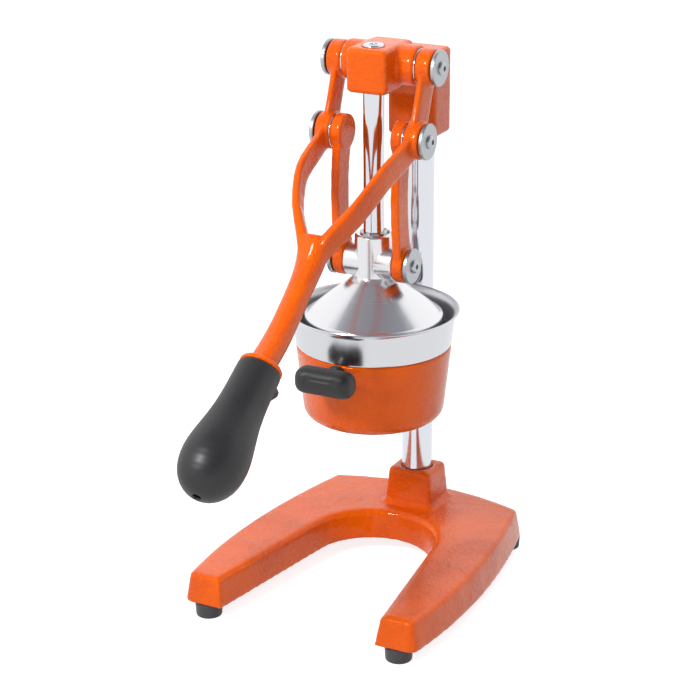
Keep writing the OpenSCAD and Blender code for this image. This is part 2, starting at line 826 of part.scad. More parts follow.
// Key sections of a lofted bar: place across, along and above the stem, half width and
// half depth. The arms start in the link pivot's eyes and end inside the stem.
arm_keys = [
    [eye_mid, 0, 0, strap_t / 2, arm_half],
    [eye_mid - 1.4, 0.23 * crotch_s, 0.45 * arm_hump, strap_t / 2, arm_half],
    [eye_mid - 3.2, 0.43 * crotch_s, 0.88 * arm_hump, strap_t / 2, arm_half],
    [0.84 * eye_mid, 0.575 * crotch_s, arm_hump, strap_t / 2, arm_half],
    [0.63 * eye_mid, 0.8 * crotch_s, 0.9 * arm_hump, 0.55 * strap_t, arm_half],
    [0.31 * eye_mid, crotch_s, 0.68 * arm_hump, 0.7 * strap_t, arm_half - 1],
    [0.12 * eye_mid, 1.15 * crotch_s, 0.42 * arm_hump, 0.7 * strap_t, arm_half - 3]
];
stem_keys = [
    [0, crotch_s - 1, 0.74 * arm_hump, fork_half - 2.4, stem_deep],
    [0, crotch_s + 6, 0.6 * arm_hump, fork_half, stem_deep + 0.4],
    [0, crotch_s + 14, 2 * stem_rise, fork_half - 0.7, stem_deep + 0.3],
    [0, crotch_s + 24, 1.36 * stem_rise, (fork_half + stem_half) / 2 - 0.5, stem_deep + 0.1],
    [0, crotch_s + 44, stem_rise, stem_half, stem_deep - 0.2],
    [0, 0.83 * collar_s, stem_rise, stem_half + 0.2, stem_deep - 0.2],
    [0, collar_s - 20, 0.75 * stem_rise + 0.25 * grip_rise, stem_half + 0.6, stem_deep - 0.1],
    [0, collar_s - 7, 0.25 * stem_rise + 0.75 * grip_rise, stem_half + 0.9, stem_deep],
    [0, collar_s + 1, grip_rise, stem_half + 1.1, stem_deep + 0.2]
];
crank_fall = [pivot_y - mid_y, mid_z - pivot_z];
crank_keys = [for (k = [0:4])
    let (t = k / 4, flare = (eye_r - crank_half - 0.5) * pow(abs(2 * t - 1), 3))
    [eye_mid - 0.5, t * crank_fall[0], t * crank_fall[1], strap_t / 2, crank_half + flare]];

loft_sides = 16;

// Ring of points about c: a rounded rectangle of half sizes a and b along u and v
function loft_ring(c, u, v, a, b, squareness) = [
    for (k = [0:loft_sides - 1])
        let (t = 360 * (k + 0.5) / loft_sides)
        c + a * sign(cos(t)) * pow(abs(cos(t)), 2 / squareness) * u
            + b * sign(sin(t)) * pow(abs(sin(t)), 2 / squareness) * v
];

// Bar lofted smoothly through key sections, its rings turned a little about its path
module lofted(keys, squareness, turn) {
    n = loft_sides;
    sections = smooth_through(keys, 2);
    m = len(sections);
    centres = [for (s = sections) [s[0], -s[1], s[2]]];
    points = [for (i = [0:m - 1])
        let (
            t = unit(centres[min(i + 1, m - 1)] - centres[max(i - 1, 0)]),
            up = unit([0, 0, 1] - t[2] * t),
            side = cross(up, t)
        )
        each loft_ring(centres[i], cos(turn) * side + sin(turn) * up, cos(turn) * up - sin(turn) * side,
            sections[i][3], sections[i][4], squareness)];
    polyhedron(points = points, faces = concat(
        [[for (k = [0:n - 1]) k]],
        [[for (k = [n - 1:-1:0]) (m - 1) * n + k]],
        [for (i = [0:m - 2]) for (k = [0:n - 1]) each [
            [i * n + k, (i + 1) * n + k, (i + 1) * n + (k + 1) % n],
            [i * n + k, (i + 1) * n + (k + 1) % n, i * n + (k + 1) % n]
        ]]
    ));
}

module lever_collar() {
    edge = 1.6;
    in_grip() translate([0, 0, -collar_t]) rotate_extrude() polygon([
        [0, 0], [collar_r - edge, 0], [collar_r, edge],
        [collar_r, collar_t - 0.6], [collar_r - 0.6, collar_t], [0, collar_t]
    ]);
    in_grip() translate([0, 0, -eps]) cylinder(r = tang_r, h = tang_len + eps);
}

module lever() {
    color(ORANGE) difference() {
        union() {
            in_lever() {
                both_sides() lofted(arm_keys, 4, 4);
                lofted(stem_keys, 2.5, 7);
            }
            lever_collar();
            at_top_pivot() both_sides() lofted(crank_keys, 4, 3);
            at_top_pivot() both_sides() x_disc(eye_r, eye_in, eye_out, 1.2);
            at_mid_pivot() both_sides() x_disc(eye_r, eye_in, eye_out, 1.2);
        }
        at_top_pivot() both_sides() x_rod(pin_r + run_gap, eye_in - 2, eye_out + 2);
        at_mid_pivot() both_sides() x_rod(pin_r + run_gap, eye_in - 2, eye_out + 2);
        in_grip() translate([0, 0, tang_len - 30]) cylinder(r = grip_screw_r + seat_gap, h = 60);
    }
}

// ------------------------------------------------------------------- grip

grip_screw_r = 2;
grip_screw_head = 12;

// Radius of the grip at the distance z from the collar: a neck that swells to the bulb,
// then a round end
function grip_radius(z) =
    let (share = z / grip_bulb_at, end = (z - grip_bulb_at) / (grip_len - grip_bulb_at))
    share < 1
        ? grip_neck_r + grip_neck_swell * sin(90 * share)
            + (grip_bulb_r - grip_neck_r - grip_neck_swell) * pow(sin(90 * pow(share, 1.9)), 2)
        : grip_bulb_r * sqrt(max(0, 1 - pow(end, 2.3)));

grip_line = concat(
    [for (t = steps(14, 1)) t * grip_bulb_at],
    [for (t = steps(9, 1)) if (t < 1) grip_bulb_at + (grip_len - grip_bulb_at) * sin(90 * t)]
);

module grip() {
    color(BLACK) in_grip() difference() {
        union() {
            rotate_extrude() polygon(concat(
                [[0, 0], [grip_neck_r - 1, 0], [grip_neck_r, 1]],
                [for (z = grip_line) [grip_radius(z), z]],
                [[0, grip_len]]
            ));
            hull() {
                for (side = [-1, 1])
                    guard_ball(side * guard_half, 0.82 * grip_neck_r, guard_at);
                guard_ball(0, grip_neck_r + guard_drop - guard_r, guard_at);
                guard_ball(0, grip_neck_r - guard_r - 0.5, guard_at + 15);
            }
        }
        translate([0, 0, -1]) cylinder(r = tang_r + seat_gap, h = tang_len + 1 + seat_gap);
        cylinder(r = grip_screw_r + seat_gap, h = grip_len);
        translate([0, 0, tang_len + grip_screw_head]) cylinder(r = grip_hole_r, h = grip_len);
    }
}

// Ball inside the finger guard, at x across, down below the grip's axis and z along it
module guard_ball(x, down, z) {
    translate([x, -down, z]) rotate([5, 3, 7]) sphere(r = guard_r, $fn = 22);
}

module grip_screw() {
    color(ZINC) in_grip() difference() {
        union() {
            translate([0, 0, tang_len - 24]) cylinder(r = grip_screw_r, h = 24 + grip_screw_head + eps);
            translate([0, 0, tang_len + grip_screw_head]) cylinder(r = grip_hole_r - seat_gap, h = 3);
        }
        translate([0, 0, tang_len + grip_screw_head + 1.4]) cylinder(r = 1.5, h = 3, $fn = 6);
    }
}

// ------------------------------------------------------------------ bowls

holder_foot_r = holder_r - holder_taper;
holder_in = holder_r - holder_wall;

// Slope of the holder's wall above its rounded corner
holder_slope = holder_taper / (holder_h - holder_corner - 1.2);
handle_z = rim_z - handle_drop;

// Outline of the holder's wall, from the hole in its bottom to its rim
function holder_corner_points(r, c, z) =
    [for (t = steps(6)) [r - c + c * sin(90 * t), z + c - c * cos(90 * t)]];

module holder_shell() {
    inner_corner = max(holder_corner - holder_wall, 1);
    rotate_extrude($fn = 96) polygon(concat(
        [[holder_hole_r, holder_z]],
        holder_corner_points(holder_foot_r, holder_corner, holder_z),
        [
            [holder_r, rim_z - 1.2], [holder_r - 1.2, rim_z],
            [holder_in + 0.6, rim_z], [holder_in, rim_z - 0.6]
        ],
        reverse(holder_corner_points(holder_foot_r - holder_wall, inner_corner, holder_z + holder_wall)),
        [[holder_hole_r, holder_z + holder_wall]]
    ));
}

clamp_low = holder_z + 8;
holder_screw_z = [clamp_low + 12, clamp_low + collar_clamp_h - 12];

// Clamp round the column and the short neck that joins it to the bowl
module holder_arm() {
    translate([0, column_y, clamp_low]) rotate_extrude() polygon([
        [0, 0], [collar_clamp_r - 1.5, 0], [collar_clamp_r, 1.5],
        [collar_clamp_r, collar_clamp_h - 1.5], [collar_clamp_r - 1.5, collar_clamp_h],
        [0, collar_clamp_h]
    ]);
    translate([-13, holder_foot_r - 3, clamp_low + 2])
        cube([26, column_y - holder_foot_r + 3, collar_clamp_h - 4]);
}

module bowl_holder() {
    color(ORANGE) difference() {
        union() {
            holder_shell();
            difference() {
                holder_arm();
                translate([0, 0, holder_z])
                    cylinder(r1 = holder_foot_r - 1, r2 = holder_r - 1, h = holder_h);
            }
        }
        translate([0, column_y, clamp_low - 1]) cylinder(r = column_r + seat_gap, h = collar_clamp_h + 2);
        set_screw_bores(holder_screw_z[0], holder_screw_z[1]);
        translate([0, 0, handle_z]) rotate([90, 0, 0]) handle_screw_form(seat_gap, holder_r + 10);
    }
}

module holder_set_screws() {
    color(ZINC) set_screws(holder_screw_z[0], holder_screw_z[1], collar_clamp_r + 0.6);
}

spout_z = holder_z - spout_drop;
band_low_r = holder_r + 0.3;
well_r = holder_in - 1.2;
ledge_w = 3.2;
strainer_gap = 0.4;
flange_z = rim_z - strainer_drop;
ledge_z = flange_z - sheet;
well_draft = holder_slope * (rim_z - ledge_z);
low_well_r = well_r - well_draft - ledge_w;
floor_z = holder_z + 9.5;
floor_fall = 2;
floor_corner = 12;
lip_fall = 4.6;

// Outer line of the steel bowl: lip, band, shoulder on the holder's rim, well with the
// ledge that carries the strainer, and floor falling to the spout's hole
bowl_line = concat(
    [[lip_r, lip_z - 0.2]],
    [for (t = steps(5, 1)) [
        lip_r - (lip_r - band_r) * sin(90 * t),
        lip_z - 0.4 - lip_fall * (1 - cos(90 * t))]],
    [
        [band_low_r, rim_z + 1.6], [band_low_r - 1.2, rim_z + eps],
        [well_r + 1, rim_z + eps], [well_r, rim_z - 1.4],
        [well_r - well_draft, ledge_z], [low_well_r, ledge_z]
    ],
    [for (t = steps(5)) [
        low_well_r - 1 - floor_corner * (1 - cos(90 * t)),
        floor_z + floor_fall + floor_corner * (1 - sin(90 * t))]],
    [[spout_r + 6, floor_z], [spout_r + seat_gap, floor_z]]
);

module juice_bowl() {
    color(STEEL) rotate_extrude($fn = 96) polygon(thickened(bowl_line, -sheet));
}

// Tube that hangs in the hole of the bowl's floor by its own flange
module juice_spout() {
    top = floor_z + sheet;
    color(STEEL) rotate_extrude() polygon([
        [spout_r - sheet, spout_z], [spout_r, spout_z], [spout_r, top],
        [spout_r + 4, top], [spout_r + 4, top + sheet], [spout_r - sheet, top + sheet]
    ]);
}

flange_t = 1.6;
flange_rim = 2.2;
strainer_r = well_r - well_draft - sheet - strainer_gap;
spigot_r = reamer_r - 3;

// Slotted plate on the bowl's ledge, with a raised edge and a hole for the reamer's foot
module strainer() {
    color(STEEL) difference() {
        rotate_extrude($fn = 96) polygon([
            [spigot_r + seat_gap, flange_z], [strainer_r - 0.6, flange_z], [strainer_r, flange_z + 0.6],
            [strainer_r, flange_z + flange_t + flange_rim],
            [strainer_r - 1.4, flange_z + flange_t + flange_rim],
            [strainer_r - 2, flange_z + flange_t], [spigot_r + seat_gap, flange_z + flange_t]
        ]);
        for (i = [0:slot_count - 1])
            rotate(i * 360 / slot_count)
                translate([reamer_r + 2.5, -slot_w / 2, flange_z - 1])
                    cube([strainer_r - reamer_r - 6, slot_w, flange_t + 2]);
    }
}

// Radius of the reamer's core at the share t of its height
function reamer_core(t) = (reamer_r - 4) * pow(cos(90 * t), 0.8) * (1 - 0.35 * t);

module reamer() {
    wall = 3.2;
    foot = 1.6;
    seat = flange_z + flange_t;
    tip = flange_z + reamer_h;
    color(ALLOY) difference() {
        union() {
            rotate_extrude() polygon(concat(
                [
                    [0, flange_z + 0.2], [spigot_r, flange_z + 0.2], [spigot_r, seat],
                    [reamer_r, seat], [reamer_r, seat + foot]
                ],
                [for (t = steps(10)) [
                    reamer_core(t) + 0.8 * (1 - t),
                    seat + foot + (tip - 2 - seat - foot) * t]]
            ));
            for (i = [0:rib_count - 1])
                rotate(i * 360 / rib_count) rotate([90, 0, 0])
                    linear_extrude(height = rib_t, center = true) polygon(concat(
                        [[0, seat + foot / 2], [reamer_r - 0.2, seat + foot / 2]],
                        [for (t = steps(8)) [
                            reamer_core(t) + 3.6 - 2.8 * t,
                            seat + foot + (tip - seat - foot) * t]],
                        [[0, tip]]
                    ));
        }
        translate([0, 0, flange_z - 1])
            cylinder(r1 = reamer_r - 4 - wall, r2 = 6, h = 0.72 * reamer_h);
    }
}

// ----------------------------------------------------------- front handle

handle_screw_r = 2.5;
handle_head_r = 4.4;
handle_head_h = 2;

// Where the countersunk head of the handle's screw starts: flush in the holder's inside
handle_head_y = holder_in - holder_slope * (rim_z - handle_z) - 0.2;

// Form of that screw along +Z, and with a gap of the hole that takes it
module handle_screw_form(gap, tip) {
    rotate_extrude() polygon([
        [0, handle_head_y - 3 * gap], [handle_head_r + gap, handle_head_y - 3 * gap],
        [handle_head_r + gap, handle_head_y], [handle_screw_r + gap, handle_head_y + handle_head_h],
        [handle_screw_r + gap, tip], [0, tip]
    ]);
}
handle_round = 7.5;
handle_neck_r = 7.4;

// Radius of the holder's outside at the height z, above its rounded corner
function holder_outer(z) = holder_foot_r + holder_slope * (z - holder_z - holder_corner);

handle_seat = holder_outer(handle_z);

module front_handle() {
    reach = handle_seat + handle_out;
    color(BLACK) difference() {
        union() {
            hull() for (sx = [-1, 1], sz = [-1, 1], y = [handle_round, handle_depth - handle_round])
                translate([
                    sx * (handle_half - handle_round), y - reach,
                    handle_z + sz * (handle_half_h - handle_round)
                ]) rotate([5, 3, 7]) sphere(r = handle_round, $fn = 22);
            translate([0, handle_round - reach, handle_z]) rotate([-90, 0, 0])
                cylinder(r = handle_neck_r, h = handle_out - 4);
        }
        translate([0, 0, handle_z - 20]) cylinder(
            r1 = holder_outer(handle_z - 20), r2 = holder_outer(handle_z + 20), h = 40, $fn = 96);
        translate([0, 0, handle_z]) rotate([90, 0, 0])
            cylinder(r = handle_screw_r + seat_gap, h = reach - 8);
    }
}

module front_handle_screw() {
    color(ZINC) translate([0, 0, handle_z]) rotate([90, 0, 0]) difference() {
        handle_screw_form(0, handle_seat + handle_out - 10);
        translate([0, 0, handle_head_y - 1]) cylinder(r = 1.5, h = 2.4, $fn = 6);
    }
}

base();
rubber_feet();
foot_screws();
column();
column_bolt();
column_washer();
head();
head_set_screws();
top_pivot_pins();
top_pivot_washers();
top_pivot_caps();
top_pivot_screws();
bowl_holder();
holder_set_screws();
front_handle();
front_handle_screw();
juice_bowl();
juice_spout();
strainer();
reamer();
press_cup();
ram_rod();
rod_clip();
low_pivot_pins();
low_pivot_caps();
low_pivot_screws();
link_left();
link_right();
lever();
grip();
grip_screw();
mid_pivot_pins();
mid_pivot_washers();
mid_pivot_caps();
mid_pivot_screws();
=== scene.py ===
"""Lever citrus juice press: surfaces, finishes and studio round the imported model.

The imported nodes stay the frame. Each operator makes one piece, or a group of like pieces, that
stands for its node on the same body, with the edges and the finish that the real one has.
"""

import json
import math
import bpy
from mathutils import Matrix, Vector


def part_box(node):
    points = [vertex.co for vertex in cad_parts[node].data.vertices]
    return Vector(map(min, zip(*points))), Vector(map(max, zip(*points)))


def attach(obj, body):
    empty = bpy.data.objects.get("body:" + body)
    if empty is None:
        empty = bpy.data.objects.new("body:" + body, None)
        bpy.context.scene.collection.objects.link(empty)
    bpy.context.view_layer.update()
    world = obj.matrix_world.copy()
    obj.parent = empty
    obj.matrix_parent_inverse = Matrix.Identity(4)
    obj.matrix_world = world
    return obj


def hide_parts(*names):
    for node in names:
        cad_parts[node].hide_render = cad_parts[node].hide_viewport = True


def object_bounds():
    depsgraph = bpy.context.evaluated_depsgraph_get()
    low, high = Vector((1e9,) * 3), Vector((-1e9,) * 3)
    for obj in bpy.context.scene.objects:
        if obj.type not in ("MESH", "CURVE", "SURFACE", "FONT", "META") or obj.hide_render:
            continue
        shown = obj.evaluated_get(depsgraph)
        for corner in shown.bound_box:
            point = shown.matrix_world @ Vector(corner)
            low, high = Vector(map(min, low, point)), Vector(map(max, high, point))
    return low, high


bl_info = {
    "name": "Lever Citrus Press",
    "version": (1, 0, 0),
    "blender": (4, 5, 0),
    "location": "3D View > Sidebar > Press",
    "description": "Cast, turned and moulded surfaces for a lever citrus press, and its studio",
    "category": "Object",
}

import bmesh
import bpy
from bpy.props import FloatProperty, FloatVectorProperty, PointerProperty
from mathutils import Matrix, Vector, noise

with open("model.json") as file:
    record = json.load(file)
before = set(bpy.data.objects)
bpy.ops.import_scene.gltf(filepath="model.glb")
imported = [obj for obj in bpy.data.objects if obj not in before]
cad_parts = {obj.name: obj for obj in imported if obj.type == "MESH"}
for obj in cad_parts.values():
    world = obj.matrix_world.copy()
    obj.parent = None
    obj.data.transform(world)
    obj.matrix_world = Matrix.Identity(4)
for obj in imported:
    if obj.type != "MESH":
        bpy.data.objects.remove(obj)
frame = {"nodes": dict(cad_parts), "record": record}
CAD_BOX = [list(corner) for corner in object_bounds()]
NODES = frame["nodes"]
BODY_OF = {
    node: body
    for body, members in frame["record"]["behaviour"]["bodies"].items()
    for node in members
}
MM = 0.001

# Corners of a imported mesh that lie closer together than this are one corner
WELD = 0.002 * MM
# Faces of a machined piece that meet at less than this are one flat face
FLAT = math.radians(0.5)
# Its edges over this angle are broken
BROKEN_EDGE = math.radians(35)
# What still meets at more than this after that is shaded as a sharp edge
SHARP_EDGE = math.radians(42)
# A face of the bowl is inside if its normal leans this far to the axis, or this far up (cosines)
INWARDS = 0.05
UPWARDS = 0.7
# Distances between two waves of a moulded face, the long ones and the short ones on them
LONG_WAVE = 13 * MM
SHORT_WAVE = 5 * MM
# How far a plastic moulding wanders from true: its steel mould is truer than one of sand
PLASTIC_WAVE = 0.04 * MM

# The photograph's viewpoint: directions to the camera's back and to the right of its picture
CAMERA_BACK = Vector((0.4320, -0.8344, 0.3424)).normalized()
CAMERA_RIGHT = Vector((0.8888, 0.4583, -0.0045)).normalized()
CAMERA_UP = CAMERA_BACK.cross(CAMERA_RIGHT)
# Width of a full-frame sensor in millimetres, which the lens is given for
SENSOR_WIDTH = 36
# How far the camera sees, in metres
SIGHT = 40

# Direction from the press to the grey panel in the ceiling, over the camera's side of the room
CEILING_PANEL = Vector((CAMERA_BACK.x, CAMERA_BACK.y, 1.6)).normalized()
# Cosines of the angle from the panel's middle between which its edge fades
PANEL_EDGE = (0.54, 0.64)
# Soft boxes: place from the middle of the press, and side of the square, in metres
KEY_BOX = (Vector((-0.5, -1.3, 1.15)), 0.32)
FRONT_BOX = (Vector((0.5, -1.5, 0.3)), 1.0)
TOP_BOX = (Vector((0.1, 0.1, 1.3)), 1.4)


def linear(code):
    """Linear colour of an sRGB hex value such as #F0690A."""
    parts = [int(code[i : i + 2], 16) / 255 for i in (1, 3, 5)]
    return tuple(p / 12.92 if p <= 0.04045 else ((p + 0.055) / 1.055) ** 2.4 for p in parts)


def rgba(code):
    """Opaque linear colour of an sRGB hex value, or of a colour setting, which is linear."""
    return (*(linear(code) if isinstance(code, str) else code), 1.0)


# ------------------------------------------------------------------------------- settings


def colour(name, code, description):
    return FloatVectorProperty(
        name=name, description=description, subtype="COLOR", size=3, min=0, max=1,
        default=linear(code),
    )


def length(name, millimetres, description):
    return FloatProperty(
        name=name, description=description, unit="LENGTH", min=0, precision=5,
        default=millimetres * MM,
    )


class PressFinishSettings(bpy.types.PropertyGroup):
    coat: colour("Powder coat", "#E85D02", "Orange of the powder coat on the castings")
    coat_deep: colour("Powder coat, thick", "#D24A02", "Orange where the coat has run thick")
    coat_gloss: colour("Powder coat, gloss", "#FF8A3C", "Tint of what the coat mirrors")
    chrome: colour("Chrome", "#D9DCE2", "Hard chrome on the two bars")
    zinc: colour("Zinc", "#B6B9BD", "Clear zinc on the turned discs")
    steel: colour("Steel", "#B4B6B9", "Bright steel of pins and screws")
    oxide: colour("Black oxide", "#2C2C2E", "Blackened steel of the hidden screws")
    stainless: colour("Stainless", "#D3D4D8", "Stainless sheet of the bowl and its strainer")
    alloy: colour("Aluminium", "#E2E2E5", "Cast aluminium of the press cup and the reamer")
    nylon: colour("Black nylon", "#1B1B1E", "Moulded nylon of the grip and the front handle")
    rubber: colour("Rubber", "#3B393D", "Moulded rubber of the feet")
    peel: length("Orange peel", 2.2, "Distance between two waves of the powder coat")
    patch: length("Skin patch", 42, "Distance between two patches where the sand skin shows")
    # Sand of about 0.3 mm leaves this skin: only its larger sinks show under the coat
    sand: length("Sand skin", 3.6, "Distance between two sinks of the sand casting")
    # Real tool marks lie about 0.1 mm apart, which is too fine to show in the render
    tool_mark: length("Tool mark", 1.0, "Distance between two turned lines")
    # A spark-eroded mould has a grain of about 0.05 mm, also too fine to show
    moulding: length("Moulded grain", 0.8, "Distance between two grains of the moulded face")


class PressShapeSettings(bpy.types.PropertyGroup):
    base_grain: length("Base mesh", 1.3, "Mesh size on the cast base")
    head_grain: length("Head mesh", 1.0, "Mesh size on the head and the bowl holder")
    fork_grain: length("Fork mesh", 0.85, "Mesh size on the fork lever and its links")
    grip_grain: length("Grip mesh", 0.8, "Mesh size on the moulded grips")
    wave: length("Casting wave", 0.10, "How far the cast faces wander from true")
    edge: length("Machined edge", 0.35, "Width of the broken edge on turned pieces")
    groove: length("Handle groove", 0.7, "Depth of the finger groove across the front handle")
    guard_swell: length("Guard swell", 2.5, "How far the grip's finger guard swells out")
    guard_place: FloatVectorProperty(
        name="Guard place", description="Middle of the grip's finger guard", subtype="XYZ",
        unit="LENGTH", default=(0.0, -0.150, 0.208),
    )


class PressStudioSettings(bpy.types.PropertyGroup):
    camera_place: FloatVectorProperty(
        name="Camera place", description="Where the photograph was taken from", subtype="XYZ",
        unit="LENGTH", default=(0.7224, -1.4356, 0.7776),
    )
    lens: FloatProperty(
        name="Lens", description="Focal length in millimetres for the photograph's frame",
        default=112.98,
    )
    key_power: FloatProperty(
        name="Key light", description="Soft box at the front left", unit="POWER", default=20.0
    )
    front_power: FloatProperty(
        name="Front light", description="Wide soft box at the front", unit="POWER", default=6.5
    )
    top_power: FloatProperty(
        name="Top light", description="Wide soft box over the press", unit="POWER", default=9.0
    )
    fill: FloatProperty(name="Fill", description="Light that the white room gives", default=0.45)
    floor_size: length("Floor", 24000, "Side of the pale floor")


# ------------------------------------------------------------------------------- finishes


def add(tree, kind, inputs=None, **settings):
    """Adds a node of this kind, with its settings, and values or links for its inputs."""
    node = tree.nodes.new(kind)
    for key, value in settings.items():
        setattr(node, key, value)
    for key, value in (inputs or {}).items():
        if isinstance(value, bpy.types.NodeSocket):
            tree.links.new(value, node.inputs[key])
        else:
            node.inputs[key].default_value = value
    return node


def finish(surface):
    """The material that surface(tree, look) describes, named for it and made once."""
    name = surface.__name__
    material = bpy.data.materials.get(name)
    if material is None:
        material = bpy.data.materials.new(name)
        material.use_nodes = True
        tree = material.node_tree
        tree.nodes.clear()
        shader = surface(tree, bpy.context.scene.press_finish)
        add(tree, "ShaderNodeOutputMaterial", {"Surface": shader.outputs[0]})
    return material


def place_on_object(tree):
    """Place in metres on the piece itself, so that a moved piece takes its pattern along."""
    return add(tree, "ShaderNodeTexCoord").outputs["Object"]


def stretched(tree, across, along):
    """Place on the piece for a pattern of these sizes in metres, across its upright axis and
    along it: lines that run round the piece, or smears that run down it."""
    scale = (1 / across, 1 / across, 1 / along)
    return add(
        tree, "ShaderNodeVectorMath", {0: place_on_object(tree), 1: scale}, operation="MULTIPLY"
    ).outputs[0]


def powder_coated_iron(tree, look):
    """Sand-cast iron, sprayed with gloss orange powder and baked: the coat levels into a fine
    orange peel, and the casting's sand skin shows through in patches as shallow sinks."""
    place = place_on_object(tree)
    patches = add(tree, "ShaderNodeTexNoise", {"Vector": place, "Scale": 1 / look.patch})
    rough_patch = add(
        tree, "ShaderNodeMapRange",
        {"Value": patches.outputs[0], "From Min": 0.48, "From Max": 0.62, "To Min": 0.5},
        interpolation_type="SMOOTHSTEP",
    )
    sand = add(
        tree, "ShaderNodeTexNoise",
        {"Vector": place, "Scale": 1 / look.sand, "Detail": 5.0, "Roughness": 0.62},
    )
    sinks = add(
        tree, "ShaderNodeMath", {0: sand.outputs[0], 1: rough_patch.outputs[0]},
        operation="MULTIPLY",
    )
    # Both reliefs are deeper than the real ones, which wouldn't show at the camera's distance
    skin = add(
        tree, "ShaderNodeBump",
        {"Strength": 1.0, "Distance": 1.5 * MM, "Height": sinks.outputs[0]},
    )
    peel = add(
        tree, "ShaderNodeTexNoise", {"Vector": place, "Scale": 1 / look.peel, "Detail": 1.0}
    )
    normal = add(
        tree, "ShaderNodeBump",
        {
            "Strength": 1.0, "Distance": 0.5 * MM, "Height": peel.outputs[0],
            "Normal": skin.outputs[0],
        },
    )
    thick = add(
        tree, "ShaderNodeMapRange",
        {"Value": patches.outputs[0], "From Min": 0.4, "From Max": 0.7, "To Max": 0.6},
    )
    tint = add(
        tree, "ShaderNodeMix", {0: thick.outputs[0], 6: rgba(look.coat), 7: rgba(look.coat_deep)},
        data_type="RGBA",
    )
    gloss = add(
        tree, "ShaderNodeMapRange", {"Value": sand.outputs[0], "To Min": 0.16, "To Max": 0.32}
    )
    return add(
        tree, "ShaderNodeBsdfPrincipled",
        {
            "Base Color": tint.outputs[2], "Roughness": gloss.outputs[0], "IOR": 1.52,
            "Specular Tint": rgba(look.coat_gloss), "Coat Weight": 0.32, "Coat Roughness": 0.07,
            "Normal": normal.outputs[0],
        },
    )


def hard_chromed_bar(tree, look):
    """Ground steel bar under hard chrome: a mirror, with faint grinding lines round it and the
    smears that wiping leaves along it."""
    down = stretched(tree, 6.25 * MM, 111.1 * MM)
    smear = add(tree, "ShaderNodeTexNoise", {"Vector": down, "Scale": 1.0, "Detail": 3.0})
    rough = add(
        tree, "ShaderNodeMapRange",
        {
            "Value": smear.outputs[0], "From Min": 0.4, "From Max": 0.75, "To Min": 0.08,
            "To Max": 0.16,
        },
    )
    lines = stretched(tree, 33.33 * MM, look.tool_mark)
    ground = add(tree, "ShaderNodeTexNoise", {"Vector": lines, "Scale": 1.0})
    normal = add(
        tree, "ShaderNodeBump",
        {"Strength": 0.1, "Distance": 0.02 * MM, "Height": ground.outputs[0]},
    )
    return add(
        tree, "ShaderNodeBsdfPrincipled",
        {
            "Base Color": rgba(look.chrome), "Metallic": 1.0, "Roughness": rough.outputs[0],
            "Normal": normal.outputs[0],
        },
    )


def turned_zinc(tree, look):
    """Turned steel discs with clear zinc plating: bright, slightly milky, with small dings."""
    place = place_on_object(tree)
    dings = add(
        tree, "ShaderNodeTexVoronoi", {"Vector": place, "Scale": 1 / (7 * MM), "Randomness": 1.0},
        feature="F1",
    )
    pits = add(
        tree, "ShaderNodeMapRange",
        {"Value": dings.outputs["Distance"], "From Min": 0.05, "From Max": 0.22},
    )
    milk = add(
        tree, "ShaderNodeTexNoise", {"Vector": place, "Scale": 1 / (3.5 * MM), "Detail": 4.0}
    )
    uneven = add(
        tree, "ShaderNodeMath", {0: milk.outputs[0], 1: 0.3, 2: pits.outputs[0]},
        operation="MULTIPLY_ADD",
    )
    normal = add(
        tree, "ShaderNodeBump",
        {"Strength": 0.7, "Distance": 0.3 * MM, "Height": uneven.outputs[0]},
    )
    rough = add(
        tree, "ShaderNodeMapRange", {"Value": milk.outputs[0], "To Min": 0.3, "To Max": 0.5}
    )
    return add(
        tree, "ShaderNodeBsdfPrincipled",
        {
            "Base Color": rgba(look.zinc), "Metallic": 1.0, "Roughness": rough.outputs[0],
            "Normal": normal.outputs[0],
        },
    )


def bright_steel(tree, look):
    """Cold-headed steel screws and ground pins, bright, with a faint grain."""
    grain = add(
        tree, "ShaderNodeTexNoise",
        {"Vector": place_on_object(tree), "Scale": 1 / (0.8 * MM), "Detail": 3.0},
    )
    rough = add(
        tree, "ShaderNodeMapRange", {"Value": grain.outputs[0], "To Min": 0.16, "To Max": 0.34}
    )
    return add(
        tree, "ShaderNodeBsdfPrincipled",
        {"Base Color": rgba(look.steel), "Metallic": 1.0, "Roughness": rough.outputs[0]},
    )


def black_oxide_steel(tree, look):
    """Blackened steel of the screws out of sight: a dull, slightly blotched black."""
    blotch = add(
        tree, "ShaderNodeTexNoise",
        {"Vector": place_on_object(tree), "Scale": 1 / (2 * MM), "Detail": 3.0},
    )
    rough = add(
        tree, "ShaderNodeMapRange", {"Value": blotch.outputs[0], "To Min": 0.35, "To Max": 0.6}
    )
    return add(
        tree, "ShaderNodeBsdfPrincipled",
        {"Base Color": rgba(look.oxide), "Metallic": 1.0, "Roughness": rough.outputs[0]},
    )


def polished_stainless(tree, look):
    """Spun stainless sheet, polished outside: a soft mirror with faint spinning lines."""
    lines = stretched(tree, 83.33 * MM, look.tool_mark)
    spun = add(tree, "ShaderNodeTexNoise", {"Vector": lines, "Scale": 1.0, "Detail": 3.0})
    rough = add(
        tree, "ShaderNodeMapRange", {"Value": spun.outputs[0], "To Min": 0.2, "To Max": 0.27}
    )
    normal = add(
        tree, "ShaderNodeBump",
        {"Strength": 0.05, "Distance": 0.03 * MM, "Height": spun.outputs[0]},
    )
    return add(
        tree, "ShaderNodeBsdfPrincipled",
        {
            "Base Color": rgba(look.stainless), "Metallic": 1.0, "Roughness": rough.outputs[0],
            "Normal": normal.outputs[0],
        },
    )


